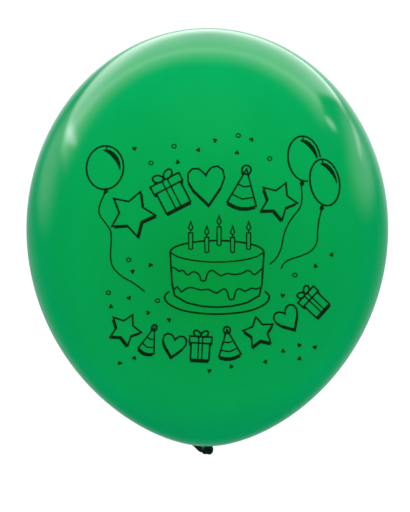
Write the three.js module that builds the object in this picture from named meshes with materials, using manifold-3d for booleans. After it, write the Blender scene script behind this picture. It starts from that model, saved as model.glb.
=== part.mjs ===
// Latex party balloon, inflated and tied, with a one-colour screen print on its front.
// Sizes are in mm. +Z runs up the balloon's axis to its crown, and -Y is the printed front.
// The origin is the tie: the narrow place between the balloon and its knot.
import * as THREE from "three";
import { mergeVertices } from "three/addons/utils/BufferGeometryUtils.js";
import { TessellateModifier } from "three/addons/modifiers/TessellateModifier.js";
import Module from "manifold-3d";

const wasm = await Module();
wasm.setup();

// ---------------------------------------------------------------- sizes

const equatorRadius = 150;
const crownHeight = 168;
const bellyDepth = 192;
const wall = 0.4;

// The underside is one smooth curve. It leaves the equator straight down and reaches the
// throat at a shallow slope; these are its two handles.
const bellyFullness = 0.49 * bellyDepth;
const shoulderRadius = 0.553 * equatorRadius;
const shoulderRise = 0.26 * shoulderRadius;

const throatRadius = 5.8;
const throatHeight = 3;
const runningGap = 0.4;
const bondGap = 0.3;

const neckHeadRadius = throatRadius - runningGap;
const neckHeadHeight = throatHeight + 0.4;
const neckTieRadius = 3.2;
const neckWaistRadius = neckTieRadius + 0.1;
const neckWaistHeight = 0.3;
const neckFootSweep = THREE.MathUtils.degToRad(68);
const neckHeadStart = THREE.MathUtils.degToRad(-22);

const knotRadius = 5.5;
const knotHeight = 7.6;
const knotTopZ = -0.6;
const knotCentreZ = knotTopZ - knotHeight / 2;
const wrapThickness = 3.2;
const wrapProud = 0.2;
const wrapRadius = knotRadius + wrapProud - wrapThickness / 2;
const wrapTilt = THREE.MathUtils.degToRad(24);

const tailHeading = THREE.MathUtils.degToRad(130);
const tailRise = THREE.MathUtils.degToRad(8);
const liftInset = 0.3;
const liftReach = knotRadius - liftInset;
const liftRoom = 6;
const rootThickness = 2.6;
const rootWidth = 4.6;
const rootLength = 6.6;
const curlThickness = 1.5;
const curlWidth = 9.5;
const tipLength = 7.4;
const tipWidth = 13;
const tipThickness = 1.9;
const mouthDepth = 3.6;
const mouthHeight = 0.7;
const beadThickness = 1.4;
const beadWidth = 14.6;
const beadTurnRadius = 1.05;

const printPitch = THREE.MathUtils.degToRad(20);
const inkGap = 0.3;
const inkThickness = 0.3;
const lineWidth = 1.4;
const detailWidth = 1.1;
const shadowDrop = 2.3;
const shadowShift = 0.3;

const equatorZ = throatHeight + bellyDepth;

// ---------------------------------------------------------------- solids and meshes

const group = new THREE.Group();
group.name = "latex_balloon";

const paint = {
  skin: { color: 0x089748, roughness: 0.15, side: THREE.DoubleSide },
  neck: { color: 0x0b6b38, roughness: 0.2 },
  knot: { color: 0x07301d, roughness: 0.25 },
  tail: { color: 0x083d24, roughness: 0.25 },
  ink: { color: 0x0a2418, roughness: 0.6 },
};

function add(name, geometry, coat) {
  geometry.computeVertexNormals();
  const mesh = new THREE.Mesh(geometry, new THREE.MeshStandardMaterial({ ...paint[coat] }));
  mesh.name = name;
  group.add(mesh);
  return mesh;
}

function toSolid(geometry) {
  const loose = geometry.index ? geometry.toNonIndexed() : geometry;
  const bare = new THREE.BufferGeometry();
  bare.setAttribute("position", loose.getAttribute("position"));
  const merged = mergeVertices(bare, 1e-4);
  return new wasm.Manifold(
    new wasm.Mesh({
      numProp: 3,
      vertProperties: merged.attributes.position.array,
      triVerts: new Uint32Array(merged.index.array),
    }),
  );
}

function toGeometry(solid) {
  const mesh = solid.getMesh();
  const geometry = new THREE.BufferGeometry();
  geometry.setAttribute("position", new THREE.BufferAttribute(mesh.vertProperties, 3));
  geometry.setIndex(new THREE.BufferAttribute(mesh.triVerts, 1));
  return geometry.toNonIndexed();
}

function moveVertices(geometry, move) {
  const position = geometry.getAttribute("position");
  const point = new THREE.Vector3();
  for (let i = 0; i < position.count; i++) {
    point.fromBufferAttribute(position, i);
    move(point);
    position.setXYZ(i, point.x, point.y, point.z);
  }
  return geometry;
}

// A lathe turns about Y, so it is stood up to turn about Z.
function turned(profile, segments) {
  return new THREE.LatheGeometry(profile, segments).rotateX(Math.PI / 2);
}

// ---------------------------------------------------------------- the skin

const belly = new THREE.CubicBezierCurve(
  new THREE.Vector2(throatRadius, throatHeight),
  new THREE.Vector2(shoulderRadius, throatHeight + shoulderRise),
  new THREE.Vector2(equatorRadius, equatorZ - bellyFullness),
  new THREE.Vector2(equatorRadius, equatorZ),
);
const crown = new THREE.EllipseCurve(0, equatorZ, equatorRadius, crownHeight, 0, Math.PI / 2);

const bellySpans = 13;
const crownSpans = 10;
const skinSegments = 44;

// The profile from the throat to the top of the crown, moved inwards by inset.
function skinProfile(inset) {
  const points = [];
  const offset = (curve, t) => {
    const tangent = curve.getTangent(t);
    const point = curve.getPoint(t);
    return point.add(new THREE.Vector2(-tangent.y, tangent.x).multiplyScalar(inset));
  };
  for (let i = 0; i < bellySpans; i++) points.push(offset(belly, i / bellySpans));
  for (let i = 0; i < crownSpans; i++) points.push(offset(crown, i / crownSpans));
  points.push(new THREE.Vector2(0, equatorZ + crownHeight - inset));
  return points;
}

const outerSkin = skinProfile(0);
const innerSkin = skinProfile(wall).reverse();
add("envelope", turned([...outerSkin, ...innerSkin, outerSkin[0].clone()], skinSegments), "skin");

function skinRadius(z) {
  if (z >= equatorZ) {
    const share = (z - equatorZ) / crownHeight;
    return equatorRadius * Math.sqrt(Math.max(0, 1 - share * share));
  }
  let low = 0;
  let high = 1;
  for (let i = 0; i < 40; i++) {
    const middle = (low + high) / 2;
    if (belly.getPoint(middle).y < z) low = middle;
    else high = middle;
  }
  return belly.getPoint(low).x;
}

// ---------------------------------------------------------------- neck, knot and tail

// The neck's ball head sits in the throat, and its ball foot sits in the knot.
const footSteps = 7;
const headSteps = 8;
const neckProfile = [];
for (let i = 0; i <= footSteps; i++) {
  const turn = (i / footSteps) * neckFootSweep;
  neckProfile.push(
    new THREE.Vector2(neckTieRadius * Math.sin(turn), -neckTieRadius * Math.cos(turn)),
  );
}
neckProfile.push(new THREE.Vector2(neckWaistRadius, neckWaistHeight));
for (let i = 0; i <= headSteps; i++) {
  const turn = THREE.MathUtils.lerp(neckHeadStart, Math.PI / 2, i / headSteps);
  neckProfile.push(
    new THREE.Vector2(
      neckHeadRadius * Math.max(0, Math.cos(turn)),
      neckHeadHeight + neckHeadRadius * Math.sin(turn),
    ),
  );
}
neckProfile[0].x = 0;
neckProfile[neckProfile.length - 1].x = 0;
add("neck", turned(neckProfile, 24), "neck");

// The tail's own frame: x along the tail, y across it, z through its thickness.
const tailTurn = new THREE.Matrix4()
  .makeRotationZ(tailHeading)
  .multiply(new THREE.Matrix4().makeRotationY(-tailRise));
const liftPivot = new THREE.Vector3(
  liftReach * Math.cos(tailHeading),
  liftReach * Math.sin(tailHeading),
  knotCentreZ,
);
const tailFrame = tailTurn.clone().setPosition(liftPivot);

const knotCore = toSolid(
  new THREE.SphereGeometry(1, 22, 12)
    .rotateX(Math.PI / 2)
    .scale(knotRadius, knotRadius, knotHeight / 2)
    .translate(0, 0, knotCentreZ),
);
const wrap = toSolid(
  new THREE.TorusGeometry(wrapRadius, wrapThickness / 2, 10, 26)
    .rotateX(wrapTilt)
    .translate(0, 0, knotCentreZ),
);
const tieSocket = toSolid(new THREE.SphereGeometry(neckTieRadius + runningGap, 20, 12));
const socketWidth = rootWidth + 6 * runningGap;
const liftSocket = toSolid(
  new THREE.CylinderGeometry(
    rootThickness / 2 + runningGap,
    rootThickness / 2 + runningGap,
    socketWidth,
    20,
  ).applyMatrix4(tailFrame),
);
const liftMouth = toSolid(
  new THREE.BoxGeometry(liftRoom, socketWidth, liftRoom)
    .translate(liftRoom / 2, 0, 0)
    .applyMatrix4(tailFrame),
);
const knot = wasm.Manifold.union([knotCore, wrap])
  .subtract(tieSocket)
  .subtract(liftSocket)
  .subtract(liftMouth);
add("knot", toGeometry(knot), "knot");

// A flattened bar along x from start to end. width and thickness are functions of x.
function flatBar(start, end, rings, width, thickness) {
  const bar = new THREE.CylinderGeometry(1, 1, 1, 16, rings).rotateZ(-Math.PI / 2);
  return moveVertices(bar, (point) => {
    const share = point.x + 0.5;
    const x = start + (end - start) * (1 - Math.cos(share * Math.PI / 2));
    point.set(x, (point.y * width(x)) / 2, (point.z * thickness(x)) / 2);
  });
}

function rounded(x, radius) {
  return x < 0 ? Math.sqrt(Math.max(0.02, 1 - (x / radius) ** 2)) : 1;
}

const curlPivotX = rootLength;
const curlGap = curlThickness / 2 + runningGap;
const rootEnd = curlPivotX - curlGap;
const rootShare = (x) => THREE.MathUtils.smoothstep(x, 0, rootEnd);
const root = flatBar(
  -rootThickness / 2,
  rootEnd,
  10,
  (x) => THREE.MathUtils.lerp(rootWidth, curlWidth, rootShare(x)),
  (x) =>
    THREE.MathUtils.lerp(rootThickness, curlThickness, rootShare(x)) *
    rounded(x, rootThickness / 2),
);
add("tail_root", root.applyMatrix4(tailFrame), "tail");

const tipEnd = curlPivotX + tipLength;
const tipShare = (x) => THREE.MathUtils.clamp((x - curlPivotX) / tipLength, 0, 1);
const tip = flatBar(
  curlPivotX - curlThickness / 2,
  tipEnd,
  10,
  (x) => THREE.MathUtils.lerp(curlWidth, tipWidth, tipShare(x)),
  (x) =>
    THREE.MathUtils.lerp(curlThickness, tipThickness, tipShare(x)) *
    rounded(x - curlPivotX, curlThickness / 2),
);
const mouth = new THREE.CylinderGeometry(1, 1, mouthDepth * 2, 16).rotateZ(-Math.PI / 2);
moveVertices(mouth, (point) => {
  point.set(point.x + tipEnd, (point.y * (tipWidth - 2.4)) / 2, (point.z * mouthHeight) / 2);
});
const tailTip = toSolid(tip).subtract(toSolid(mouth));
add("tail_end", toGeometry(tailTip).applyMatrix4(tailFrame), "tail");

// The rolled rim is a bead round the flattened mouth: a torus pulled apart across the tail.
const beadSteps = 24;
const beadStretch = (beadWidth - beadThickness) / 2 - beadTurnRadius;
const bead = new THREE.TorusGeometry(beadTurnRadius, beadThickness / 2, 8, beadSteps)
  .rotateZ(Math.PI / beadSteps)
  .rotateY(Math.PI / 2);
moveVertices(bead, (point) => {
  point.x += tipEnd + bondGap + beadThickness / 2;
  point.y += Math.sign(point.y) * beadStretch;
});
add("rolled_rim", bead.applyMatrix4(tailFrame), "tail");

// ---------------------------------------------------------------- flat art

// The art is drawn flat, u to the right and v up, about the middle of the equator. Then it
// is pressed straight back on to the skin, as the balloon is printed while it is inflated.

const at = (list) => list.map(([u, v]) => new THREE.Vector2(u, v));

function offsetLine(points, distance, closed) {
  const last = points.length - 1;
  return points.map((point, i) => {
    const before = points[i > 0 ? i - 1 : closed ? last : 0];
    const after = points[i < last ? i + 1 : closed ? 0 : last];
    const arriving = point.clone().sub(before).normalize();
    const leaving = after.clone().sub(point).normalize();
    const along = arriving.clone().add(leaving).normalize();
    const bend = Math.max(arriving.dot(along), leaving.dot(along), 0.45);
    return new THREE.Vector2(-along.y, along.x).multiplyScalar(distance / bend).add(point);
  });
}

function extruded(shape) {
  return toSolid(
    new THREE.ExtrudeGeometry(shape, { depth: inkThickness, bevelEnabled: false }),
  );
}

function filled(points) {
  return extruded(new THREE.Shape(points));
}

function stroke(points, width = lineWidth) {
  const left = offsetLine(points, width / 2, false);
  const right = offsetLine(points, -width / 2, false).reverse();
  return filled([...left, ...right]);
}

function ring(points, width = lineWidth) {
  const loop = THREE.ShapeUtils.area(points) < 0 ? [...points].reverse() : points;
  const shape = new THREE.Shape(offsetLine(loop, -width / 2, true));
  shape.holes.push(new THREE.Path(offsetLine(loop, width / 2, true)));
  return extruded(shape);
}

function smooth(list, pieces) {
  return new THREE.SplineCurve(at(list)).getPoints(pieces);
}

function ellipse(u, v, radiusU, radiusV, pieces, tilt = 0) {
  return new THREE.EllipseCurve(u, v, radiusU, radiusV, 0, 2 * Math.PI, false, tilt)
    .getPoints(pieces)
    .slice(0, pieces);
}

const plateUp = new THREE.Vector3(0, Math.sin(printPitch), Math.cos(printPitch));
const plateOut = new THREE.Vector3(0, -Math.cos(printPitch), Math.sin(printPitch));
const plateCentre = new THREE.Vector3(0, 0, equatorZ);

// The place on the skin straight in front of the flat point (u, v), raised by height.
function pressed(u, v, height) {
  const point = new THREE.Vector3();
  let low = 0;
  let high = 2 * equatorRadius;
  for (let i = 0; i < 40; i++) {
    const middle = (low + high) / 2;
    point.copy(plateCentre).addScaledVector(plateUp, v).addScaledVector(plateOut, middle);
    point.x = u;
    const inside = Math.hypot(point.x, point.y) < skinRadius(point.z);
    if (inside) low = middle;
    else high = middle;
  }
  const slope = (skinRadius(point.z + 0.05) - skinRadius(point.z - 0.05)) / 0.1;
  const radius = Math.hypot(point.x, point.y);
  const normal = new THREE.Vector3(point.x / radius, point.y / radius, -slope).normalize();
  return point.addScaledVector(normal, height);
}

const finer = new TessellateModifier(9, 12);

function printOn(name, solids) {
  const art = wasm.Manifold.union(solids);
  const geometry = finer.modify(toGeometry(art));
  moveVertices(geometry, (point) => {
    point.copy(pressed(point.x, point.y, inkGap + point.z));
  });
  add(name, geometry, "ink");
}

// ---------------------------------------------------------------- the printed cake

const cakeBack = new THREE.EllipseCurve(7.5, -19, 36.5, 9, 0, Math.PI).getPoints(18);
const cakeSides = at([
  [-29, -19],
  [-27.5, -44],
  [-25.5, -53],
  [-16, -58.5],
  [-4, -61.3],
  [7.5, -62],
  [19, -61.3],
  [31, -58.5],
  [40.5, -53],
  [42.5, -44],
  [44, -19],
]);
const cakeFront = smooth(
  [[-29, -19], [-22, -23], [-8, -25.8], [7.5, -26.7], [23, -25.8], [37, -23], [44, -19]],
  14,
);
const upperIcing = smooth(
  [
    [-28, -31], [-25, -31.5], [-22, -34], [-19, -33], [-15.5, -37], [-11, -34],
    [-6.5, -36.5], [-5, -41], [-1.5, -41], [0, -35.5], [4, -33], [10, -37.5],
    [15, -35.5], [21, -36.5], [27, -35.5], [32, -33], [36, -36.5], [39, -35], [43.5, -31],
  ],
  34,
);
const lowerIcing = smooth(
  [
    [-26.5, -49], [-23.5, -46], [-20.5, -50], [-17, -47.5], [-12, -46.5], [-5.5, -48.5],
    [1, -48], [7, -51], [12.5, -47.5], [15.5, -50], [17, -55.5], [20.5, -55.5],
    [22, -49.5], [25, -47.5], [29.5, -49.5], [34.5, -47], [38, -48], [42, -46],
  ],
  34,
);

// A candle stands on the cake's top with its wick in the flame, so each one is a single line.
const candles = [
  { u: -13, foot: -17, top: -4 },
  { u: -0.5, foot: -19.5, top: -7.5 },
  { u: 9, foot: -14, top: 0.5 },
  { u: 19.5, foot: -19.5, top: -7.5 },
  { u: 32, foot: -17, top: -4 },
];
const stick = ({ u, foot, top }) =>
  at([
    [u - 1.6, top],
    [u - 1.5, foot + 0.8],
    [u, foot],
    [u + 1.5, foot + 0.8],
    [u + 1.6, top],
  ]);
const flame = ({ u, top }) =>
  at([
    [u, top + 1.6],
    [u - 1.7, top + 4],
    [u - 0.6, top + 6.6],
    [u, top + 9],
    [u + 0.8, top + 6.4],
    [u + 1.7, top + 4],
  ]);
const cakeBackLine = candles.reduce(
  (line, candle) => line.subtract(filled(stick(candle))),
  stroke(cakeBack),
);
printOn("print_cake", [
  cakeBackLine,
  stroke(cakeSides),
  stroke(cakeFront, detailWidth),
  stroke(upperIcing, 1.2),
  stroke(lowerIcing, 1.2),
  ...candles.map((candle) => ring(stick(candle), 1)),
  ...candles.map((candle) => ring(flame(candle), 1)),
  ...candles.map(({ u, top }) => stroke(at([[u, top - 0.2], [u, top + 1.8]]), 1)),
]);
printOn("print_plate", [
  stroke(
    smooth(
      [
        [-29.8, -49.5], [-33.5, -54], [-29.5, -60], [-16, -65.3], [7.5, -67.5],
        [31, -65.3], [44.5, -60], [48.5, -54], [44.8, -49.5],
      ],
      26,
    ),
  ),
]);

// ---------------------------------------------------------------- the printed balloons

const middle = new THREE.Vector2(0, 0);

// The glint on a small balloon: shares of its radii, and the angles round it.
const glint = {
  steps: 8,
  start: THREE.MathUtils.degToRad(96),
  end: THREE.MathUtils.degToRad(-8),
  reach: 0.84,
  depth: 0.24,
  fullest: 2.85,
  thinnest: 0.25,
};

// A small printed balloon with its knot and string. Its glint is a dark crescent.
function smallBalloon({ u, v, radiusU, radiusV, tilt, string, behind }) {
  const outline = ellipse(u, v, radiusU, radiusV, 22, tilt);
  const glintAt = (turn, share) =>
    new THREE.Vector2(share * radiusU * Math.cos(turn), share * radiusV * Math.sin(turn))
      .rotateAround(middle, tilt)
      .add(new THREE.Vector2(u, v));
  const outerEdge = [];
  const innerEdge = [];
  for (let i = 0; i <= glint.steps; i++) {
    const share = i / glint.steps;
    const turn = THREE.MathUtils.lerp(glint.start, glint.end, share);
    const depth = glint.depth * Math.sin(THREE.MathUtils.lerp(glint.fullest, glint.thinnest, share));
    outerEdge.push(glintAt(turn, glint.reach));
    innerEdge.push(glintAt(turn, glint.reach - depth));
  }
  const crescent = filled([...outerEdge, ...innerEdge.reverse()]);
  const crescentLink = stroke([glintAt(1.5, 0.8), glintAt(1.45, 0.99)], 1);
  const [start, next] = string;
  const knotLine = filled(
    at([
      [start[0] - 0.6, start[1] + 2],
      [start[0] - 2, start[1] - 1.2],
      [next[0], next[1]],
      [start[0] + 2, start[1] - 1.2],
      [start[0] + 0.6, start[1] + 2],
    ]),
  );
  const parts = [
    ring(outline),
    crescent,
    crescentLink,
    knotLine,
    stroke(smooth(string, 22), detailWidth),
  ];
  if (!behind) return parts;
  return [wasm.Manifold.union(parts).subtract(filled(behind))];
}

const rightFront = { u: 92.5, v: 36, radiusU: 12, radiusV: 18.6, tilt: 0.16 };
printOn("print_balloon_left", smallBalloon({
  u: -80.5,
  v: 47.5,
  radiusU: 15,
  radiusV: 17.3,
  tilt: 0,
  string: [
    [-79.5, 29.5], [-81, 26], [-84.5, 18], [-85, 11], [-80, 4], [-75.5, -3], [-75.5, -13],
    [-76, -23], [-74, -31], [-67, -38], [-59, -42.5], [-52.5, -47], [-49, -50],
  ],
}));
printOn("print_balloon_right_front", smallBalloon({
  ...rightFront,
  string: [
    [90, 16.5], [89.3, 13], [87.5, 6], [86.5, -3], [86, -11], [82, -17.5],
    [74.5, -21.5], [65, -24.5], [60, -27.5], [57.5, -32],
  ],
}));
printOn("print_balloon_right_back", smallBalloon({
  u: 76,
  v: 54.5,
  radiusU: 13,
  radiusV: 18,
  tilt: 0.12,
  string: [
    [74, 35.5], [73.6, 32], [74, 24], [72.5, 16], [67, 9], [62.5, 2], [59.5, -6],
    [57.5, -16], [53.5, -24], [48.5, -28.5],
  ],
  behind: ellipse(rightFront.u, rightFront.v, 13.6, 20.2, 26, rightFront.tilt),
}));

// ---------------------------------------------------------------- the two rows of motifs

// Each motif fits a box one unit wide and high. Rings are its outline, lines its detail.
const starRing = [];
for (let i = 0; i < 10; i++) {
  const radius = i % 2 === 0 ? 0.53 : 0.28;
  const turn = Math.PI / 2 + (i * Math.PI) / 5;
  starRing.push([radius * Math.cos(turn), radius * Math.sin(turn)]);
}
const heartHalf = [
  [0.18, -0.3], [0.38, -0.08], [0.49, 0.14], [0.47, 0.34], [0.34, 0.45], [0.17, 0.43], [0.05, 0.32],
];
const heartRing = [
  [0, -0.5],
  ...heartHalf,
  [0, 0.24],
  ...heartHalf.map(([x, y]) => [-x, y]).reverse(),
];
const loopRing = (side) =>
  ellipse(side * 0.17, 0.37, 0.17, 0.1, 9, side * 0.35).map((p) => [p.x, p.y]);
const pomRing = ellipse(0, 0.4, 0.14, 0.11, 9).map((p) => [p.x, p.y]);

const motifs = {
  star: { rings: [starRing], lines: [] },
  heart: { rings: [heartRing], lines: [] },
  gift: {
    rings: [
      [[-0.42, -0.5], [0.42, -0.5], [0.42, 0.06], [-0.42, 0.06]],
      [[-0.5, 0.06], [0.5, 0.06], [0.5, 0.28], [-0.5, 0.28]],
      loopRing(-1),
      loopRing(1),
    ],
    lines: [
      [[-0.09, -0.48], [-0.09, 0.27]],
      [[0.09, -0.48], [0.09, 0.27]],
    ],
  },
  hat: {
    rings: [
      [[-0.44, -0.42], [-0.2, -0.49], [0, -0.51], [0.2, -0.49], [0.44, -0.42], [0, 0.42]],
      pomRing,
    ],
    lines: [
      [[-0.33, -0.22], [0, -0.3], [0.33, -0.22]],
      [[-0.2, 0.04], [0, -0.01], [0.2, 0.04]],
    ],
  },
};

// Each motif has a solid shadow along its lower edge, as block lettering has.
function motif(kind, u, v, lean, width, height) {
  const place = (list) =>
    list.map(([x, y]) =>
      new THREE.Vector2(x * width, y * height)
        .rotateAround(middle, THREE.MathUtils.degToRad(lean))
        .add(new THREE.Vector2(u, v)),
    );
  const drop = new THREE.Vector2(-shadowShift, -shadowDrop).rotateAround(
    middle,
    THREE.MathUtils.degToRad(lean),
  );
  const { rings, lines } = motifs[kind];
  const body = wasm.Manifold.union(rings.map((list) => filled(place(list))));
  const shadow = body.translate([drop.x, drop.y, 0]).subtract(body);
  return [
    shadow,
    ...rings.map((list) => ring(place(list))),
    ...lines.map((list) => stroke(place(list), detailWidth)),
  ];
}

const topRow = [
  ["star", -59, 11, 50, 35, 35],
  ["gift", -29.5, 29.5, 27, 25, 31],
  ["heart", -0.5, 33, 6, 29, 31],
  ["hat", 28.5, 32, -8, 26, 33],
  ["star", 55, 21, -24, 29, 29],
];
topRow.forEach(([kind, ...rest], i) => {
  printOn(`print_top_${i + 1}_${kind}`, motif(kind, ...rest));
});

const bottomRow = [
  ["star", -65, -80, -28, 25, 25],
  ["hat", -45, -87.5, -20, 15, 24],
  ["heart", -26.5, -92.5, -12, 19, 19],
  ["gift", -5.5, -92, -3, 17.5, 24],
  ["hat", 16.5, -90, 7, 20, 25],
  ["star", 40.5, -82, 12, 24, 24],
  ["heart", 63.5, -71.5, 32, 20, 20],
  ["gift", 82.5, -57, 47, 18, 25],
];
bottomRow.forEach(([kind, ...rest], i) => {
  printOn(`print_bottom_${i + 1}_${kind}`, motif(kind, ...rest));
});

// ---------------------------------------------------------------- confetti

const confettiHearts = [
  [-57, 62], [-7, 60.5], [-23, 51], [6, 68], [34.5, 69], [23, 58.5], [-44.5, -29],
  [-58.5, -34], [98, -21], [85, -30], [59, -53], [-61.5, -55], [-76, -62], [-46.5, -66.5],
  [-30, -72], [-58, -103], [-70, -107.5], [1.5, -113], [46, -106], [60, -97.5],
  [73, -93], [86, -95], [73.5, -104], [19, -109.5],
];
const confettiRings = [
  [-26, 63.5], [-44, 50.5], [24, 72], [48.5, 54], [-61.5, -25], [68.5, -37], [-78, -51],
  [-39, -57],
];
confettiHearts.forEach(([u, v], i) => {
  const outline = at([[0, -2], [-1.9, 0.4], [-1.2, 1.7], [0, 0.9], [1.2, 1.7], [1.9, 0.4]]);
  const turn = THREE.MathUtils.degToRad(35 * i);
  const placed = outline.map((p) =>
    p.rotateAround(middle, turn).add(new THREE.Vector2(u, v)),
  );
  printOn(`print_confetti_heart_${i + 1}`, [filled(placed)]);
});
confettiRings.forEach(([u, v], i) => {
  printOn(`print_confetti_ring_${i + 1}`, [ring(ellipse(u, v, 1.7, 1.5, 9), 0.9)]);
});

export default group;
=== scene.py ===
"""A latex party balloon, inflated and tied, with a one-colour print on its front.

Metres, in the CAD model's frame: +Z runs up to the crown, -Y is the printed front, and the
origin is the tie, the narrow place between the balloon and its knot.
"""

import math

import bmesh
import bpy
import numpy as np
from mathutils import Matrix, Vector, noise


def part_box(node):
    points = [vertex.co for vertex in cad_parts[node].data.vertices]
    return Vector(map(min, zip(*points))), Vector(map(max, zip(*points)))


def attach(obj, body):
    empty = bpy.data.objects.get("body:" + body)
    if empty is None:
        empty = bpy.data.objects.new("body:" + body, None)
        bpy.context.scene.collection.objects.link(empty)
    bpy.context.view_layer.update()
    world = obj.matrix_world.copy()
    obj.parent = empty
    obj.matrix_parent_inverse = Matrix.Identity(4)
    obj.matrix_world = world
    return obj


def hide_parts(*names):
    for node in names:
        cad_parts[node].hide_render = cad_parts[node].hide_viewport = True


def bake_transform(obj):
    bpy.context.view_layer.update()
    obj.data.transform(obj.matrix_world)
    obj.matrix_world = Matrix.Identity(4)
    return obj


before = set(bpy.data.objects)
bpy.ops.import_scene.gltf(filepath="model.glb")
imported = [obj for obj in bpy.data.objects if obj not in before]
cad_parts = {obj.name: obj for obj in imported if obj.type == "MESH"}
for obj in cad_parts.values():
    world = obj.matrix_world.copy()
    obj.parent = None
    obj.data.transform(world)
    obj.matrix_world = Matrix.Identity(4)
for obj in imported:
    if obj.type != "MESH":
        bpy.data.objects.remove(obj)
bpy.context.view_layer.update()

# ------------------------------------------------------------------------------ sizes

MM = 0.001

# The skin's profile, as in the CAD model.
EQUATOR_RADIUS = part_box("envelope")[1].x
CROWN_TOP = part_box("envelope")[1].z
CROWN_HEIGHT = 168 * MM
EQUATOR_HEIGHT = CROWN_TOP - CROWN_HEIGHT
THROAT_RADIUS = 5.8 * MM
THROAT_HEIGHT = 3 * MM
BELLY_DEPTH = EQUATOR_HEIGHT - THROAT_HEIGHT
BELLY_FULLNESS = 0.49 * BELLY_DEPTH
SHOULDER_RADIUS = 0.553 * EQUATOR_RADIUS
SHOULDER_RISE = 0.26 * SHOULDER_RADIUS

# The gathers where the skin runs in to the tie. Their ridges hang lower than their folds, by
# GATHER_SAG of their depth. The skin flares out of its end inside the neck, past a waist, up to
# FLARE_RADIUS, and from there it follows the profile.
GATHER_COUNT = 13
GATHER_DEPTH = 0.5 * MM
GATHER_REACH = 26 * MM
GATHER_SHARPNESS = 0.8
GATHER_SAG = 0.4
FLARE_RADIUS = 13 * MM
FLARE_WAIST = 0.3
SKIN_END_RADIUS = 2.3 * MM
SKIN_END_HEIGHT = 0.7 * MM

# How the gathers wander round the tie: how far in radians, how many times round, and the phase.
GATHER_DRIFTS = [(0.8, 2, 0), (0.5, 5, 1)]

# The neck widens from its top radius to its full one, then tapers a little towards the knot.
NECK_TOP = 1.8 * MM
NECK_BOTTOM = -1.6 * MM
NECK_TOP_RADIUS = 2.9 * MM
NECK_RADIUS = 3.4 * MM
NECK_WIDENING = 2.2
NECK_TAPER = 0.35 * MM
NECK_TWIST = math.radians(50)
NECK_FOLD = 0.3 * MM

# The knot is a band tied in an overhand knot round a core, which is a ball stretched by KNOT_CORE
# on each axis. The band is ribbed along its length and swells and shrinks as it goes.
KNOT_RADIUS = 5.5 * MM
KNOT_HEIGHT = 7.6 * MM
KNOT_TOP = -0.6 * MM
KNOT_CENTRE = Vector((0, 0, KNOT_TOP - KNOT_HEIGHT / 2))
KNOT_CORE = (1.25, 1.25, 1.02)
KNOT_TURN = Matrix.Rotation(math.radians(-33), 3, "Z")
BAND_RADIUS = 2.0 * MM
BAND_WIDTH = 1.12
BAND_THICKNESS = 0.92
BAND_RIBS = 6
BAND_RIB_DEPTH = 0.055
BAND_SWELLS = 4
BAND_SWELL_DEPTH = 0.05

# The tail leaves the knot on this heading and rise, from a pivot TAIL_REACH out from the knot's centre;
# CURL_PIVOT is a place further along it.
TAIL_HEADING = math.radians(130)
TAIL_RISE = math.radians(8)
TAIL_REACH = 5.2 * MM
TAIL_SEAM = 3.2 * MM
SEAM_OVERLAP = 0.3 * MM
ROOT_INSET = 0.05 * MM
SECTION_ROUNDNESS = 0.8
CURL_PIVOT = 6.6 * MM
RIM_REACH = 15 * MM
RIM_HALF_WIDTH = 6.6 * MM
RIM_HALF_HEIGHT = 1.05 * MM
RIM_RADIUS = 0.7 * MM
RIM_WAVER = 0.35 * MM
RIM_CREASE = 0.07
RIM_LUMPS = 0.06
MOUTH_DEPTH = 3.6 * MM
LATEX = 0.4 * MM

# The print faces this far above level. Its ink reaches this deep into the skin and this far above
# it. Edges longer than INK_SPAN are halved, INK_DIVISIONS times at the most.
PRINT_PITCH = math.radians(20)
INK_SUNK = 0.05 * MM
INK_PROUD = 0.07 * MM
INK_SPAN = 3 * MM
INK_DIVISIONS = 3
WELD_DISTANCE = 0.002 * MM

# ------------------------------------------------------------------------------ camera

CAMERA_PITCH = math.radians(20)
CAMERA_DISTANCE = 2.4
CAMERA_LENS = 203.2
CAMERA_SENSOR = 36
AIM_ACROSS = -1.9 * MM
AIM_UP = -22.07 * MM

balloon_centre = Vector((0, 0, EQUATOR_HEIGHT))
camera_forward = Vector((0, math.cos(CAMERA_PITCH), -math.sin(CAMERA_PITCH)))
camera_up = Vector((0, math.sin(CAMERA_PITCH), math.cos(CAMERA_PITCH)))
camera_aim = balloon_centre + Vector((AIM_ACROSS, 0, 0)) + AIM_UP * camera_up

camera_data = bpy.data.cameras.new("camera")
camera_data.lens = CAMERA_LENS
camera_data.sensor_width = CAMERA_SENSOR
camera = bpy.data.objects.new("camera", camera_data)
bpy.context.scene.collection.objects.link(camera)
camera.location = camera_aim - CAMERA_DISTANCE * camera_forward
camera.rotation_mode = "QUATERNION"
camera.rotation_quaternion = camera_forward.to_track_quat("-Z", "Y")
bpy.context.scene.camera = camera


# ------------------------------------------------------------------------------ helpers

SHARP_EDGE = math.radians(60)


def ease(value):
    """0 below 0, 1 above 1, and a smooth step between."""
    value = min(max(value, 0.0), 1.0)
    return value * value * (3 - 2 * value)


def mix(a, b, share):
    return a + (b - a) * share


def bezier(points, t):
    """The point at t of a Bezier curve with these handles."""
    while len(points) > 1:
        points = [mix(a, b, t) for a, b in zip(points, points[1:])]
    return points[0]


def round_section(angle):
    """A sine made a little squarer, from -1 to 1: the outline of a flattened, rounded section."""
    return math.copysign(abs(math.sin(angle)) ** SECTION_ROUNDNESS, math.sin(angle))


def path_direction(path, turn, nudge):
    """Which way a looped path runs at this turn, as a unit vector."""
    return (path(turn + nudge) - path(turn - nudge)).normalized()


def make_object(name, mesh):
    made = bpy.data.objects.new(name, mesh)
    bpy.context.scene.collection.objects.link(made)
    return made


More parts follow.
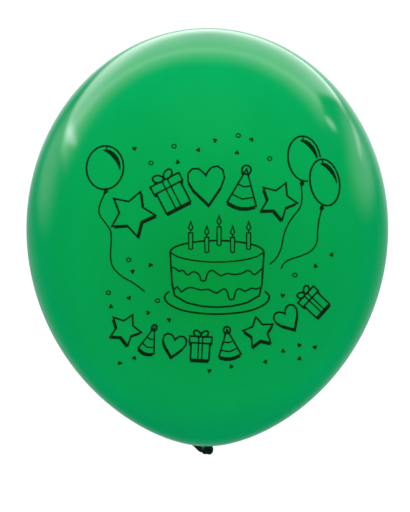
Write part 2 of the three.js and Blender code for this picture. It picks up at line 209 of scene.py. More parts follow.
def smooth_mesh(name, points, faces):
    """A smooth-shaded mesh, with creases only where it turns by more than SHARP_EDGE."""
    mesh = bpy.data.meshes.new(name)
    mesh.from_pydata(points, [], faces)
    mesh.shade_smooth()
    mesh.set_sharp_from_angle(angle=SHARP_EDGE)
    return mesh


def ring_faces(rings, count, wrap_rings=False):
    """Quads joining rings of count points each, in order; the last ring can join the first."""
    faces = []
    spans = rings if wrap_rings else rings - 1
    for i in range(spans):
        here = i * count
        there = ((i + 1) % rings) * count
        for j in range(count):
            k = (j + 1) % count
            faces.append((here + j, here + k, there + k, there + j))
    return faces


def capped_tube(name, rings):
    """A closed mesh through these rings of points, with a flat cap on its first and last."""
    count = len(rings[0])
    points = [point for ring in rings for point in ring]
    faces = ring_faces(len(rings), count)
    last = len(points) - count
    faces.append(tuple(reversed(range(count))))
    faces.append(tuple(range(last, last + count)))
    return smooth_mesh(name, points, faces)


def face_outwards(mesh):
    """Turns a closed mesh's faces to look outwards."""
    work = bmesh.new()
    work.from_mesh(mesh)
    bmesh.ops.recalc_face_normals(work, faces=work.faces)
    work.to_mesh(mesh)
    work.free()


# ------------------------------------------------------------------------------ materials


# Soft noise seldom leaves this band.
NOISE_LOW = 0.3
NOISE_HIGH = 0.7


class Nodes:
    """A material's node tree, with short calls for the nodes used here."""

    def __init__(self, name, specular=0.5):
        self.material = bpy.data.materials.new(name)
        self.material.use_nodes = True
        self.tree = self.material.node_tree
        self.shader = self.tree.nodes["Principled BSDF"]
        self.shader.inputs["Specular IOR Level"].default_value = specular
        self.place = self.tree.nodes.new("ShaderNodeTexCoord").outputs["Object"]

    def link(self, source, target):
        self.tree.links.new(source, target)

    def noise(self, scale, detail, stretch=(1, 1, 1)):
        """Soft noise, scale per metre, from 0 to 1. stretch multiplies the scale on each axis."""
        mapping = self.tree.nodes.new("ShaderNodeMapping")
        mapping.inputs["Scale"].default_value = stretch
        self.link(self.place, mapping.inputs["Vector"])
        texture = self.tree.nodes.new("ShaderNodeTexNoise")
        texture.inputs["Scale"].default_value = scale
        texture.inputs["Detail"].default_value = detail
        self.link(mapping.outputs["Vector"], texture.inputs["Vector"])
        return texture.outputs["Fac"]

    def ramp(self, value, stops):
        """Colours or greys at these positions, as (position, colour) pairs."""
        ramp = self.tree.nodes.new("ShaderNodeValToRGB")
        elements = ramp.color_ramp.elements
        while len(elements) < len(stops):
            elements.new(1.0)
        for element, (position, colour) in zip(elements, stops):
            element.position = position
            element.color = (*colour, 1.0) if isinstance(colour, tuple) else (colour,) * 3 + (1.0,)
        self.link(value, ramp.inputs["Fac"])
        return ramp.outputs["Color"]

    def between(self, value, low, high, to_low=0.0, to_high=1.0):
        """value from low…high moved to to_low…to_high, and held there outside."""
        span = self.tree.nodes.new("ShaderNodeMapRange")
        for name, number in (
            ("From Min", low),
            ("From Max", high),
            ("To Min", to_low),
            ("To Max", to_high),
        ):
            span.inputs[name].default_value = number
        self.link(value, span.inputs["Value"])
        return span.outputs["Result"]

    def distance(self, point):
        """How far a place is from this point, in metres."""
        apart = self.tree.nodes.new("ShaderNodeVectorMath")
        apart.operation = "DISTANCE"
        self.link(self.place, apart.inputs[0])
        apart.inputs[1].default_value = point
        return apart.outputs["Value"]

    def near(self, point, far, close, most):
        """0 farther than far from this point, rising to most at close and nearer."""
        return self.between(self.distance(point), far, close, 0, most)

    def blend(self, kind, share, first, second):
        """first and second mixed; share, first and second are each a socket or a constant."""
        node = self.tree.nodes.new("ShaderNodeMix")
        node.data_type = "RGBA"
        node.blend_type = kind
        sockets = {socket.identifier: socket for socket in node.inputs}
        for identifier, value in (
            ("Factor_Float", share),
            ("A_Color", first),
            ("B_Color", second),
        ):
            if isinstance(value, bpy.types.NodeSocket):
                self.link(value, sockets[identifier])
            elif isinstance(value, tuple):
                sockets[identifier].default_value = (*value, 1.0)
            else:
                sockets[identifier].default_value = value
        return next(o for o in node.outputs if o.identifier == "Result_Color")

    def dimmed(self, colour, scale, detail, darkest, stretch=(1, 1, 1)):
        """This colour, darkened in noisy patches to as little as darkest times itself."""
        patches = self.noise(scale, detail, stretch)
        shade = self.ramp(patches, [(NOISE_LOW, darkest), (NOISE_HIGH, 1.0)])
        return self.blend("MULTIPLY", 1.0, colour, shade)

    def colour(self, socket):
        self.link(socket, self.shader.inputs["Base Color"])

    def roughness(self, value, low, high):
        """Roughness from low to high with the noise in value."""
        self.link(self.between(value, NOISE_LOW, NOISE_HIGH, low, high), self.shader.inputs["Roughness"])

    def bump(self, value, depth, strength):
        bump = self.tree.nodes.new("ShaderNodeBump")
        bump.inputs["Distance"].default_value = depth
        bump.inputs["Strength"].default_value = strength
        self.link(value, bump.inputs["Height"])
        self.link(bump.outputs["Normal"], self.shader.inputs["Normal"])


# Painted light and shade: the skin's green is darkest and purest in the middle of the front, painted
# paler towards the top and sides, and a little darker again furthest from there.
PAINTED_LIGHT_ORIGIN = (0, -EQUATOR_RADIUS, EQUATOR_HEIGHT + 0.1 * EQUATOR_RADIUS)
CROWN_POLE = (0, 0, CROWN_TOP)
TIE = (0, 0, 0)
DEEP_GREEN = (0.0, 0.045, 0.018)
CROWN_GREEN = (0.0, 0.19, 0.062)
# The knot's colour is the dark green of thick latex, taken nearly to black as painted shade.
DARK_LATEX = (0.0006, 0.016, 0.0085)
INK_GREEN = (0.0, 0.019, 0.002)


def skin_material():
    """Stretched glossy latex, with painted light and shade: paler away from the middle of the front,
    darker again at the bottom, and darker at the crown and the tie.
    """
    nodes = Nodes("latex_skin")
    nodes.shader.inputs["Sheen Weight"].default_value = 0.35
    nodes.shader.inputs["Sheen Roughness"].default_value = 0.35
    nodes.shader.inputs["Sheen Tint"].default_value = (0.0, 0.75, 0.42, 1)
    away = nodes.between(nodes.distance(PAINTED_LIGHT_ORIGIN), 0, EQUATOR_RADIUS * 2)
    # Painted light and shade: this ramp makes the green paler towards the top and sides and darker again
    # low down.
    body = nodes.ramp(
        away,
        [
            (0.0, (0.0, 0.292, 0.040)),
            (0.12, (0.0, 0.300, 0.050)),
            (0.2, (0.0, 0.316, 0.064)),
            (0.32, (0.0, 0.336, 0.072)),
            (0.44, (0.0, 0.346, 0.078)),
            (0.54, (0.0, 0.356, 0.092)),
            (0.7, (0.0, 0.354, 0.097)),
            (0.85, (0.0, 0.318, 0.078)),
            (1.0, (0.0, 0.314, 0.078)),
        ],
    )
    streaked = nodes.dimmed(body, scale=34, detail=3, darkest=0.95, stretch=(1, 1, 0.12))
    clouded = nodes.dimmed(streaked, scale=9, detail=2, darkest=0.97)
    at_crown = nodes.near(CROWN_POLE, far=30 * MM, close=4 * MM, most=0.3)
    crowned = nodes.blend("MIX", at_crown, clouded, CROWN_GREEN)
    # Painted shade: the lower part of the skin is darkened a little towards DEEP_GREEN.
    below = nodes.near(TIE, far=155 * MM, close=110 * MM, most=0.13)
    low_painted_shade = nodes.blend("MIX", below, crowned, DEEP_GREEN)
    at_tie = nodes.near(TIE, far=24 * MM, close=4 * MM, most=0.95)
    nodes.colour(nodes.blend("MIX", at_tie, low_painted_shade, DEEP_GREEN))
    nodes.roughness(nodes.noise(scale=520, detail=5), low=0.09, high=0.14)
    nodes.bump(nodes.noise(scale=900, detail=3), depth=0.004 * MM, strength=0.5)
    return nodes.material


def thick_latex_material(name, deep, light, roughness):
    """Unstretched latex: dark, with lighter patches and fine, drawn-out lines."""
    nodes = Nodes(name)
    patches = nodes.noise(scale=260, detail=4)
    body = nodes.ramp(patches, [(0.35, deep), (0.75, light)])
    fine = nodes.noise(scale=1700, detail=3, stretch=(1, 1, 0.4))
    lines = nodes.ramp(fine, [(NOISE_LOW, 0.75), (NOISE_HIGH, 1.0)])
    nodes.colour(nodes.blend("MULTIPLY", 1.0, body, lines))
    nodes.roughness(patches, low=roughness - 0.05, high=roughness + 0.1)
    nodes.bump(fine, depth=0.05 * MM, strength=0.6)
    return nodes.material


def ink_material():
    """Screen-printed ink: dark, almost flat, a little thin in places."""
    nodes = Nodes("print_ink", specular=0.12)
    wear = nodes.noise(scale=420, detail=5)
    worn = [(0.35, INK_GREEN), (0.62, (0.0, 0.027, 0.004)), (0.85, (0.0, 0.05, 0.012))]
    nodes.colour(nodes.ramp(wear, worn))
    nodes.roughness(wear, low=0.42, high=0.6)
    nodes.bump(nodes.noise(scale=2400, detail=2), depth=0.008 * MM, strength=0.4)
    return nodes.material


skin_coat = skin_material()
# The neck, knot and tail colours are the dark green of thick latex, taken nearly to black: part their
# own colour, part painted shade.
neck_coat = thick_latex_material(
    "latex_neck", deep=(0.0008, 0.03, 0.014), light=(0.001, 0.045, 0.02), roughness=0.26
)
knot_coat = thick_latex_material(
    "latex_knot", deep=DARK_LATEX, light=(0.001, 0.026, 0.013), roughness=0.28
)
tail_coat = thick_latex_material(
    "latex_tail", deep=(0.0008, 0.02, 0.010), light=(0.001, 0.036, 0.017), roughness=0.3
)
ink_coat = ink_material()

# ------------------------------------------------------------------------------ skin

SKIN_COLUMNS = 208
FLARE_ROWS = 16
BELLY_ROWS = 84
CROWN_ROWS = 60
PROFILE_SAMPLES = 2000

belly_handles = [
    Vector((THROAT_RADIUS, THROAT_HEIGHT)),
    Vector((SHOULDER_RADIUS, THROAT_HEIGHT + SHOULDER_RISE)),
    Vector((EQUATOR_RADIUS, EQUATOR_HEIGHT - BELLY_FULLNESS)),
    Vector((EQUATOR_RADIUS, EQUATOR_HEIGHT)),
]
belly = [bezier(belly_handles, i / PROFILE_SAMPLES) for i in range(PROFILE_SAMPLES + 1)]
belly_radii = np.array([point.x for point in belly])
belly_heights = np.array([point.y for point in belly])


def skin_radius(heights):
    """The skin's radius at each of these heights, as an array."""
    climbed = (heights - EQUATOR_HEIGHT) / CROWN_HEIGHT
    crown = EQUATOR_RADIUS * np.sqrt(np.clip(1 - climbed**2, 0, 1))
    below = np.interp(heights, belly_heights, belly_radii, left=0)
    return np.where(heights > EQUATOR_HEIGHT, crown, below)


def gather_wave(angle):
    """Irregular gathers round the tie, from -1 in a fold to 1 on a ridge."""
    drift = sum(size * math.sin(times * angle + phase) for size, times, phase in GATHER_DRIFTS)
    return 1 - 2 * abs(math.sin((GATHER_COUNT * angle + drift) / 2)) ** GATHER_SHARPNESS


def skin_rows():
    """(radius, height) of each ring of the skin, from its gathered end up to the crown."""
    start = float(np.interp(FLARE_RADIUS, belly_radii, np.linspace(0, 1, PROFILE_SAMPLES + 1)))
    edge = bezier(belly_handles, start)
    flare = [
        Vector((SKIN_END_RADIUS, SKIN_END_HEIGHT)),
        Vector((mix(SKIN_END_RADIUS, THROAT_RADIUS, FLARE_WAIST), THROAT_HEIGHT)),
        edge,
    ]
    rows = [bezier(flare, i / FLARE_ROWS) for i in range(FLARE_ROWS)]
    rows += [bezier(belly_handles, mix(start, 1, i / BELLY_ROWS)) for i in range(BELLY_ROWS)]
    for i in range(CROWN_ROWS):
        angle = i / CROWN_ROWS * math.pi / 2
        height = EQUATOR_HEIGHT + CROWN_HEIGHT * math.sin(angle)
        rows.append(Vector((EQUATOR_RADIUS * math.cos(angle), height)))
    return rows


def build_skin():
    """The inflated skin, closed at the crown and drawn in to the tie in gathers."""
    points = []
    rows = skin_rows()
    for row in rows:
        near_tie = ease((GATHER_REACH - row.x) / (GATHER_REACH - SKIN_END_RADIUS))
        depth = GATHER_DEPTH * near_tie if row.y < EQUATOR_HEIGHT else 0
        for j in range(SKIN_COLUMNS):
            angle = 2 * math.pi * j / SKIN_COLUMNS
            fold = depth * gather_wave(angle)
            radius = row.x + fold
            height = row.y - GATHER_SAG * fold
            points.append((radius * math.cos(angle), radius * math.sin(angle), height))
    faces = ring_faces(len(rows), SKIN_COLUMNS)
    top = len(points)
    points.append((0, 0, CROWN_TOP))
    last = top - SKIN_COLUMNS
    faces += [(last + j, last + (j + 1) % SKIN_COLUMNS, top) for j in range(SKIN_COLUMNS)]
    faces.append(tuple(reversed(range(SKIN_COLUMNS))))
    skin = make_object("skin", smooth_mesh("skin", points, faces))
    skin.data.materials.append(skin_coat)
    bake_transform(skin)
    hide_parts("envelope")


build_skin()

# ------------------------------------------------------------------------------ neck and knot

NECK_ROWS = 22
NECK_COLUMNS = 78


def build_neck():
    """The twisted, gathered latex between the skin and the knot."""
    rings = []
    for i in range(NECK_ROWS + 1):
        share = i / NECK_ROWS
        height = mix(NECK_TOP, NECK_BOTTOM, share)
        radius = mix(NECK_TOP_RADIUS, NECK_RADIUS, ease(share * NECK_WIDENING))
        radius -= NECK_TAPER * ease(share * 2 - 1)
        ring = []
        for j in range(NECK_COLUMNS):
            angle = 2 * math.pi * j / NECK_COLUMNS
            out = radius + NECK_FOLD * gather_wave(angle)
            turned = angle + NECK_TWIST * share
            ring.append((out * math.cos(turned), out * math.sin(turned), height))
        rings.append(ring)
    mesh = capped_tube("neck_gathers", rings)
    face_outwards(mesh)
    neck = make_object("neck_gathers", mesh)
    neck.data.materials.append(neck_coat)
    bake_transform(neck)
    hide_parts("neck")


BAND_STEPS = 180
BAND_SIDES = 30
BAND_NUDGE = 0.01
KNOT_VOXEL = 0.16 * MM
KNOT_RELAX = 0.5
KNOT_RELAX_ROUNDS = 12
KNOT_FACES_KEPT = 0.4


def knot_path(turn):
    """A point on the overhand knot's centre line, about the knot's centre."""
    across = (KNOT_RADIUS - BAND_RADIUS) / 3
    upward = KNOT_HEIGHT / 2 - BAND_RADIUS
    return KNOT_TURN @ Vector(
        (
            across * (math.sin(turn) + 2 * math.sin(2 * turn)),
            across * (math.cos(turn) - 2 * math.cos(2 * turn)),
            -upward * math.sin(3 * turn),
        )
    )


def knot_mesh():
    """The knot's ribbed band as a tube that crosses itself, and a core that fills its middle."""
    points = []
    for i in range(BAND_STEPS):
        turn = 2 * math.pi * i / BAND_STEPS
        here = knot_path(turn)
        forward = path_direction(knot_path, turn, BAND_NUDGE)
        side = forward.cross(here.normalized()).normalized()
        out = side.cross(forward)
        for j in range(BAND_SIDES):
            angle = 2 * math.pi * j / BAND_SIDES
            rib = BAND_RIB_DEPTH * math.cos(BAND_RIBS * angle + turn)
            swell = BAND_SWELL_DEPTH * math.sin(BAND_SWELLS * turn)
            ring = side * math.cos(angle) * BAND_WIDTH + out * math.sin(angle) * BAND_THICKNESS
            points.append(KNOT_CENTRE + here + ring * BAND_RADIUS * (1 + rib + swell))
    mesh = smooth_mesh("knot_band", points, ring_faces(BAND_STEPS, BAND_SIDES, wrap_rings=True))
    work = bmesh.new()
    work.from_mesh(mesh)
    core = Matrix.Translation(KNOT_CENTRE) @ Matrix.Diagonal((*KNOT_CORE, 1))
    bmesh.ops.create_icosphere(work, subdivisions=4, radius=KNOT_HEIGHT / 2, matrix=core)
    work.to_mesh(mesh)
    work.free()
    return mesh


def fuse_shells(piece):
    """Makes a piece's crossing shells one surface, with soft creases where they meet."""
    fuse = piece.modifiers.new("fuse", "REMESH")
    fuse.mode = "VOXEL"
    fuse.voxel_size = KNOT_VOXEL
    relax = piece.modifiers.new("relax", "SMOOTH")
    relax.factor = KNOT_RELAX
    relax.iterations = KNOT_RELAX_ROUNDS
    thin = piece.modifiers.new("thin", "DECIMATE")
    thin.ratio = KNOT_FACES_KEPT
    bpy.context.view_layer.update()
    evaluated = piece.evaluated_get(bpy.context.evaluated_depsgraph_get())
    fused = bpy.data.meshes.new_from_object(evaluated)
    piece.modifiers.clear()
    piece.data = fused
    fused.shade_smooth()


def build_knot():
    """An overhand knot pulled tight: one ribbed band that passes over and under itself."""
    knot = make_object("knot_band", knot_mesh())
    fuse_shells(knot)
    knot.data.materials.append(knot_coat)
    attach(knot, "knot")
    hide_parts("knot")


build_neck()
build_knot()

# ------------------------------------------------------------------------------ tail

tail_along = Vector(
    (
        math.cos(TAIL_HEADING) * math.cos(TAIL_RISE),
        math.sin(TAIL_HEADING) * math.cos(TAIL_RISE),
        math.sin(TAIL_RISE),
    )
)
tail_across = Vector((-math.sin(TAIL_HEADING), math.cos(TAIL_HEADING), 0))
tail_thick = tail_along.cross(tail_across)
tail_pivot = KNOT_CENTRE + TAIL_REACH * Vector((math.cos(TAIL_HEADING), math.sin(TAIL_HEADING), 0))

# Half the tail's width, half its thickness and how far its middle hangs, at distances from
# the pivot along the tail.
TAIL_STATIONS = [-3.4 * MM, -1.6 * MM, 0, 3 * MM, 5 * MM, CURL_PIVOT, 10 * MM, RIM_REACH]
TAIL_HALF_WIDTHS = [1.8 * MM, 3.1 * MM, 3.7 * MM, 4.0 * MM, 4.3 * MM, 4.7 * MM, 5.6 * MM, RIM_HALF_WIDTH]
TAIL_HALF_THICKNESSES = [1.0 * MM, 2.6 * MM, 2.9 * MM, 2.6 * MM, 2.1 * MM, 1.5 * MM, 0.7 * MM, 0.8 * MM]
TAIL_SAGS = [0.5 * MM, 1.5 * MM, 1.9 * MM, 1.8 * MM, 1.3 * MM, 0.7 * MM, 0.1 * MM, 0]
TAIL_SIDES = 72
TAIL_ROWS = 26
MOUTH_ROWS = 8

# A section's sizes are averaged over these distances either side of it.
TAIL_SOFTENING = np.linspace(-1.4 * MM, 1.4 * MM, 7)

# The pleats deepen towards the mouth and fade towards the tail's sides. PLEAT_DRIFT is the size of
# a wave that makes them uneven. It runs through PLEAT_DRIFT_ACROSS radians over half the width,
# and through PLEAT_DRIFT_ALONG radians to a metre of the tail's length.
PLEATS = 4
PLEAT_DEPTH = 0.24 * MM
PLEAT_HEAD_START = 0.25
PLEAT_PHASE = 0.6
PLEAT_FADE = 0.5
PLEAT_DRIFT = 0.4
PLEAT_DRIFT_ACROSS = 3
PLEAT_DRIFT_ALONG = 40


def tail_place(along, across, thick):
    """A point in the model's frame, from its distances along, across and through the tail."""
    return tail_pivot + tail_along * along + tail_across * across + tail_thick * thick


def tail_wave(along, share):
    """How far the tail's sheet is lifted by its pleats, at a share from -1 to 1 of its width."""
    grown = ease(along / RIM_REACH + PLEAT_HEAD_START)
    drift = PLEAT_DRIFT * math.sin(PLEAT_DRIFT_ACROSS * share + PLEAT_DRIFT_ALONG * along)
    fan = math.cos(PLEATS * math.pi * share + PLEAT_PHASE) + drift
    return PLEAT_DEPTH * grown * fan * (1 - PLEAT_FADE * abs(share))


def tail_size(sizes, along):
    """A size at a distance from the pivot, with the change from station to station softened."""
    return float(np.interp(along + TAIL_SOFTENING, TAIL_STATIONS, sizes).mean())


def tail_ring(along, inset=0.0):
    """The tail's flattened section at a distance from the pivot, inset towards its middle."""
    half_width = tail_size(TAIL_HALF_WIDTHS, along) - inset
    half_thickness = tail_size(TAIL_HALF_THICKNESSES, along) - inset
    sag = tail_size(TAIL_SAGS, along)
    ring = []
    for j in range(TAIL_SIDES):
        angle = 2 * math.pi * j / TAIL_SIDES
        share = math.cos(angle)
        thick = half_thickness * round_section(angle) + tail_wave(along, share) - sag
        ring.append(tail_place(along, half_width * share, thick))
    return ring


def tail_rings(start, end, rows, inset=0.0):
    """The tail's sections from one distance along it to another."""
    return [tail_ring(mix(start, end, i / rows), inset) for i in range(rows + 1)]


def tail_piece(name, rings):
    mesh = capped_tube(name, rings)
    face_outwards(mesh)
    piece = make_object(name, mesh)
    piece.data.materials.append(tail_coat)
    return piece


def build_tail():
    """The flattened neck past the knot: its root, and its wider end with an open mouth."""
    root_rings = tail_rings(TAIL_STATIONS[0], TAIL_SEAM + SEAM_OVERLAP, TAIL_ROWS, ROOT_INSET)
    root = tail_piece("tail_gathers", root_rings)
    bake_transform(root)
    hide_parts("tail_root")

    outside = tail_rings(TAIL_SEAM, RIM_REACH, TAIL_ROWS)
    inside = tail_rings(RIM_REACH, RIM_REACH - MOUTH_DEPTH, MOUTH_ROWS, LATEX)
    end = tail_piece("tail_mouth", outside + inside)
    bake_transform(end)
    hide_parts("tail_end")


RIM_STEPS = 160
RIM_SIDES = 18
RIM_NUDGE = 0.02
RIM_WAVER_PHASE = 0.7
RIM_CREASES = 3
RIM_CREASE_TURNS = 9
RIM_LUMP_SCALE = 900


def rim_path(turn):
    """A point on the middle line of the rolled lip."""
    share = math.cos(turn)
    lift = RIM_HALF_HEIGHT * round_section(turn)
    waver = RIM_WAVER * math.sin(2 * turn + RIM_WAVER_PHASE)
    return tail_place(RIM_REACH + waver, RIM_HALF_WIDTH * share, lift + tail_wave(RIM_REACH, share))


def build_rim():
    """The lip of the mouthpiece, rolled back on itself into a bead."""
    points = []
    for i in range(RIM_STEPS):
        turn = 2 * math.pi * i / RIM_STEPS
        here = rim_path(turn)
        forward = path_direction(rim_path, turn, RIM_NUDGE)
        side = forward.cross(tail_along).normalized()
        along = side.cross(forward)
        lump = RIM_LUMPS * noise.noise(here * RIM_LUMP_SCALE)
        for j in range(RIM_SIDES):
            angle = 2 * math.pi * j / RIM_SIDES
            crease = RIM_CREASE * math.cos(RIM_CREASES * angle + RIM_CREASE_TURNS * turn)
            ring = side * math.cos(angle) + along * math.sin(angle)
            points.append(here + ring * RIM_RADIUS * (1 + crease + lump))
    mesh = smooth_mesh("rolled_lip", points, ring_faces(RIM_STEPS, RIM_SIDES, wrap_rings=True))
    face_outwards(mesh)
    rim = make_object("rolled_lip", mesh)
    rim.data.materials.append(tail_coat)
    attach(rim, "tail_tip")
    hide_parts("rolled_rim")


build_tail()
build_rim()

# ------------------------------------------------------------------------------ print

print_up = np.array((0, math.sin(PRINT_PITCH), math.cos(PRINT_PITCH)))
print_out = np.array((0, -math.cos(PRINT_PITCH), math.sin(PRINT_PITCH)))
print_centre = np.array(balloon_centre)
BISECTIONS = 40


def skin_depth(across, up):
    """Places on the print's flat plane, and how far out along its normal the skin lies."""
    flat = print_centre + np.outer(across, (1, 0, 0)) + np.outer(up, print_up)
    low = np.zeros(len(across))
    high = np.full(len(across), 2 * EQUATOR_RADIUS)
    for _ in range(BISECTIONS):
        middle = (low + high) / 2
        point = flat + np.outer(middle, print_out)
        inside = np.hypot(point[:, 0], point[:, 1]) < skin_radius(point[:, 2])
        low = np.where(inside, middle, low)
        high = np.where(inside, high, middle)
    return flat, low


def over_skin(work):
    """Each vertex, its place on the print's flat plane, and how far from there the skin lies."""
    points = np.array([tuple(vertex.co) for vertex in work.verts])
    flat, depth = skin_depth(points[:, 0], (points - print_centre) @ print_up)
    return points, flat, depth


def divide_long_edges(work):
    """Halves the edges longer than INK_SPAN a few times, so that a film can follow the skin."""
    for _ in range(INK_DIVISIONS):
        long_edges = [edge for edge in work.edges if edge.calc_length() > INK_SPAN]
        if not long_edges:
            break
        bmesh.ops.subdivide_edges(work, edges=long_edges, cuts=1)
        bmesh.ops.triangulate(work, faces=work.faces)


def press_ink(node):
    """A copy of a CAD print piece, as a film of ink that follows the round of the skin."""
    work = bmesh.new()
    work.from_mesh(node.data)
    bmesh.ops.remove_doubles(work, verts=work.verts, dist=WELD_DISTANCE)
    points, flat, depth = over_skin(work)
    height = (points - flat) @ print_out - depth
    middle = (height.min() + height.max()) / 2
    proud = work.verts.layers.float.new("proud")
    for vertex, value in zip(work.verts, height):
        vertex[proud] = 1.0 if value > middle else 0.0
    divide_long_edges(work)
    points, flat, depth = over_skin(work)
    share = np.array([vertex[proud] for vertex in work.verts])
    film = depth - INK_SUNK + share * (INK_SUNK + INK_PROUD)
    for vertex, place in zip(work.verts, flat + np.outer(film, print_out)):
        vertex.co = place
    bmesh.ops.recalc_face_normals(work, faces=work.faces)
    name = node.name.replace("print_", "ink_")
    mesh = bpy.data.meshes.new(name)
    work.to_mesh(mesh)
    work.free()
    mesh.materials.append(ink_coat)
    ink = make_object(name, mesh)
    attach(ink, "balloon")
    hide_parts(node.name)


for name in sorted(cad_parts):
    if name.startswith("print_"):
        press_ink(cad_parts[name])

# ------------------------------------------------------------------------------ studio

FLOOR_HEIGHT = -1.1
FLOOR_SIZE = 60
FLOOR_WHITE = 0.92
FLOOR_GLOW = 0.12
FILL_RADIANCE = 1.0
TOP_LIGHT_POWER = 8.0
TOP_LIGHT_SIZE = 1.4
TOP_LIGHT_OFFSET = Vector((0, -0.35, 1.5))

# The screen's distance in metres, and its step and extents in degrees.
SCREEN_DISTANCE = 3.0
SCREEN_STEP = 1.5
SCREEN_AZIMUTHS = (-90, 90)
SCREEN_ELEVATIONS = (-60, 75)

scene = bpy.context.scene
scene.view_settings.view_transform = "Standard"


def build_world():
    """A white surround that lights the balloon evenly, and is left out of its reflections."""
    world = bpy.data.worlds.new("studio")
    world.use_nodes = True
    tree = world.node_tree
    background = tree.nodes["Background"]
    background.inputs["Color"].default_value = (FILL_RADIANCE, FILL_RADIANCE, FILL_RADIANCE, 1)
    dark = tree.nodes.new("ShaderNodeBackground")
    dark.inputs["Color"].default_value = (0, 0, 0, 1)
    path = tree.nodes.new("ShaderNodeLightPath")
    choose = tree.nodes.new("ShaderNodeMixShader")
    tree.links.new(path.outputs["Is Glossy Ray"], choose.inputs["Fac"])
    tree.links.new(background.outputs["Background"], choose.inputs[1])
    tree.links.new(dark.outputs["Background"], choose.inputs[2])
    tree.links.new(choose.outputs["Shader"], tree.nodes["World Output"].inputs["Surface"])
    scene.world = world


def build_floor():
    """A pale floor far below, bright enough to pass into the white surround."""
    half = FLOOR_SIZE / 2
    corners = [(x * half, y * half, FLOOR_HEIGHT) for x, y in ((-1, -1), (1, -1), (1, 1), (-1, 1))]
    mesh = bpy.data.meshes.new("floor")
    mesh.from_pydata(corners, [], [(0, 1, 2, 3)])
    pale = bpy.data.materials.new("floor_pale")
    pale.use_nodes = True
    shader = pale.node_tree.nodes["Principled BSDF"]
    shader.inputs["Base Color"].default_value = (FLOOR_WHITE, FLOOR_WHITE, FLOOR_WHITE, 1)
    shader.inputs["Roughness"].default_value = 1.0
    shader.inputs["Specular IOR Level"].default_value = 0.0
    shader.inputs["Emission Color"].default_value = (1, 1, 1, 1)
    shader.inputs["Emission Strength"].default_value = FLOOR_GLOW
    mesh.materials.append(pale)
    floor = make_object("floor", mesh)
    floor.visible_glossy = False


# Ovals of light on the screen, in degrees: where (azimuth, elevation), half its size, how
# bright, its tilt, and how soft its edge is as a share of its size.
SOFT_LIGHTS = [
    ((3, -5), (24, 12), 0.6, 0, 0.6),
    ((0, -22), (34, 16), 0.22, 0, 0.6),
    ((2, -33), (28, 14), 0.08, 0, 0.6),
    ((52, 3), (17, 9), 0.65, 0, 0.6),
    ((-49, 1), (15, 10), 0.48, 15, 0.6),
    ((24, 5.5), (10, 1.8), 1.5, 8, 0.4),
    ((42, 4), (8, 1.6), 1.2, 0, 0.4),
    ((57, 22), (2.6, 2.6), 3.0, 0, 0.4),
    ((-54, 14), (11, 1.6), 3.0, -20, 0.4),
]


# The big soft light over the crown, in degrees: its middle and half its size, and the height of
# its lower edge, which is ARCH_LOW in the middle and climbs at both sides.
ARCH_AT = (2, -2)
ARCH_HALF_SIZE = (68, 59)
ARCH_LOW = -0.5
ARCH_LEFT_RISE = 7.5
ARCH_LEFT_SPREAD = 30
ARCH_RIGHT_SLOPE = 0.11
ARCH_RIGHT_RISE = 18
ARCH_RIGHT_START = 25
ARCH_RIGHT_SPREAD = 20

# Its brightness, how many degrees its lower edge fades over, and, as shares of its half size,
# where it ends and how wide it fades there.
ARCH_BRIGHTNESS = 1.1
ARCH_LOWER_FEATHER = 4
ARCH_END = 1.15
ARCH_FEATHER = 0.3

# A thin brighter line inside its upper rim, placed by a share of its half size.
UPPER_LINE = 0.6
UPPER_LINE_REACH = 0.82
UPPER_LINE_WIDTH = 0.1

# A broad brighter band along its lower edge, in degrees. It is gone LOWER_LINE_HOLD depths above
# the edge, after fading for one depth, and it fades sideways from LOWER_LINE_AZIMUTH.
LOWER_LINE = 0.85
LOWER_LINE_HOLD = 1.6
LOWER_LINE_DEPTH = 14
LOWER_LINE_AZIMUTH = -12
LOWER_LINE_SPREAD = 60


def patch(azimuth, elevation, at, half_size, brightness, tilt, feather):
    """The brightness in this direction of one of the ovals."""
    across = azimuth - at[0]
    up = elevation - at[1]
    lean = math.radians(tilt)
    along = (across * math.cos(lean) + up * math.sin(lean)) / half_size[0]
    over = (up * math.cos(lean) - across * math.sin(lean)) / half_size[1]
    return brightness * ease((1 + feather - math.hypot(along, over)) / (2 * feather))


def arch_start(azimuth):
    """The elevation at which the big soft light starts; its two lower corners are unlike."""
    if azimuth < 0:
        return ARCH_LEFT_RISE * ease(-azimuth / ARCH_LEFT_SPREAD) + ARCH_LOW
    corner = ARCH_RIGHT_RISE * ease((azimuth - ARCH_RIGHT_START) / ARCH_RIGHT_SPREAD)
    return ARCH_RIGHT_SLOPE * azimuth + corner + ARCH_LOW


def screen_brightness(azimuth, elevation):
    """The brightness of the screen in this direction; azimuth 0 is straight behind the balloon."""
    above = elevation - arch_start(azimuth)
    across = (azimuth - ARCH_AT[0]) / ARCH_HALF_SIZE[0]
    reach = math.hypot(across, (elevation - ARCH_AT[1]) / ARCH_HALF_SIZE[1])
    upper_line = UPPER_LINE * ease(1 - abs(reach - UPPER_LINE_REACH) / UPPER_LINE_WIDTH)
    beside = ease(abs(azimuth - LOWER_LINE_AZIMUTH) / LOWER_LINE_SPREAD)
    lower_line = LOWER_LINE * ease(LOWER_LINE_HOLD - above / LOWER_LINE_DEPTH) * (1 - beside)
    faded = ease(above / ARCH_LOWER_FEATHER) * ease((ARCH_END - reach) / ARCH_FEATHER)
    lit = (ARCH_BRIGHTNESS + upper_line + lower_line) * faded
    for at, half_size, brightness, tilt, feather in SOFT_LIGHTS:
        lit += patch(azimuth, elevation, at, half_size, brightness, tilt, feather)
    return lit


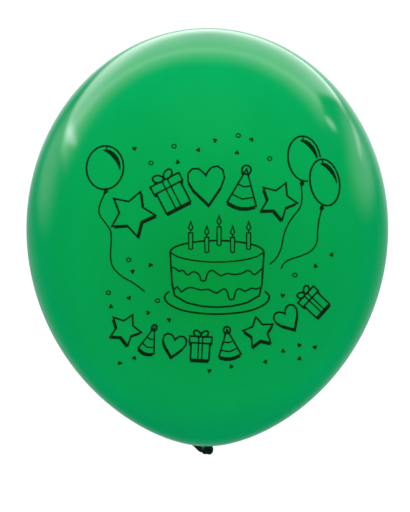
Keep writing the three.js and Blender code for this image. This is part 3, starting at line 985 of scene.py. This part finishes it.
def screen_mesh():
    """Part of a sphere round the balloon, with its brightness as an attribute of its points."""
    azimuths = np.arange(SCREEN_AZIMUTHS[0], SCREEN_AZIMUTHS[1] + SCREEN_STEP, SCREEN_STEP)
    elevations = np.arange(SCREEN_ELEVATIONS[0], SCREEN_ELEVATIONS[1] + SCREEN_STEP, SCREEN_STEP)
    points = []
    glows = []
    for elevation in elevations:
        for azimuth in azimuths:
            turn = math.radians(azimuth)
            rise = math.radians(elevation)
            direction = Vector(
                (math.sin(turn) * math.cos(rise), math.cos(turn) * math.cos(rise), math.sin(rise))
            )
            points.append(balloon_centre + SCREEN_DISTANCE * direction)
            glows.append(screen_brightness(azimuth, elevation))
    columns = len(azimuths)
    faces = []
    for i in range(len(elevations) - 1):
        for j in range(columns - 1):
            corner = i * columns + j
            faces.append((corner, corner + 1, corner + columns + 1, corner + columns))
    mesh = bpy.data.meshes.new("screen")
    mesh.from_pydata(points, [], faces)
    mesh.attributes.new("glow", "FLOAT", "POINT").data.foreach_set("value", glows)
    return mesh


def screen_material():
    """A surface that glows as brightly as its points say."""
    lit = bpy.data.materials.new("screen_lit")
    lit.use_nodes = True
    tree = lit.node_tree
    tree.nodes.remove(tree.nodes["Principled BSDF"])
    glow = tree.nodes.new("ShaderNodeAttribute")
    glow.attribute_name = "glow"
    emission = tree.nodes.new("ShaderNodeEmission")
    tree.links.new(glow.outputs["Fac"], emission.inputs["Strength"])
    tree.links.new(emission.outputs["Emission"], tree.nodes["Material Output"].inputs["Surface"])
    return lit


def build_screen():
    """A curved screen seen only in reflections, like the soft boxes round a product on show."""
    mesh = screen_mesh()
    mesh.materials.append(screen_material())
    screen = make_object("screen", mesh)
    screen.visible_camera = False
    screen.visible_diffuse = False
    screen.visible_shadow = False


def build_top_light():
    """A round soft light over the balloon, a little to its front."""
    light = bpy.data.lights.new("top_light", "AREA")
    light.shape = "DISK"
    light.size = TOP_LIGHT_SIZE
    light.energy = TOP_LIGHT_POWER
    lamp = bpy.data.objects.new("top_light", light)
    scene.collection.objects.link(lamp)
    lamp.location = balloon_centre + TOP_LIGHT_OFFSET
    lamp.rotation_mode = "QUATERNION"
    lamp.rotation_quaternion = (balloon_centre - lamp.location).to_track_quat("-Z", "Y")
    lamp.visible_glossy = False
    lamp.visible_camera = False


build_world()
build_floor()
build_screen()
build_top_light()
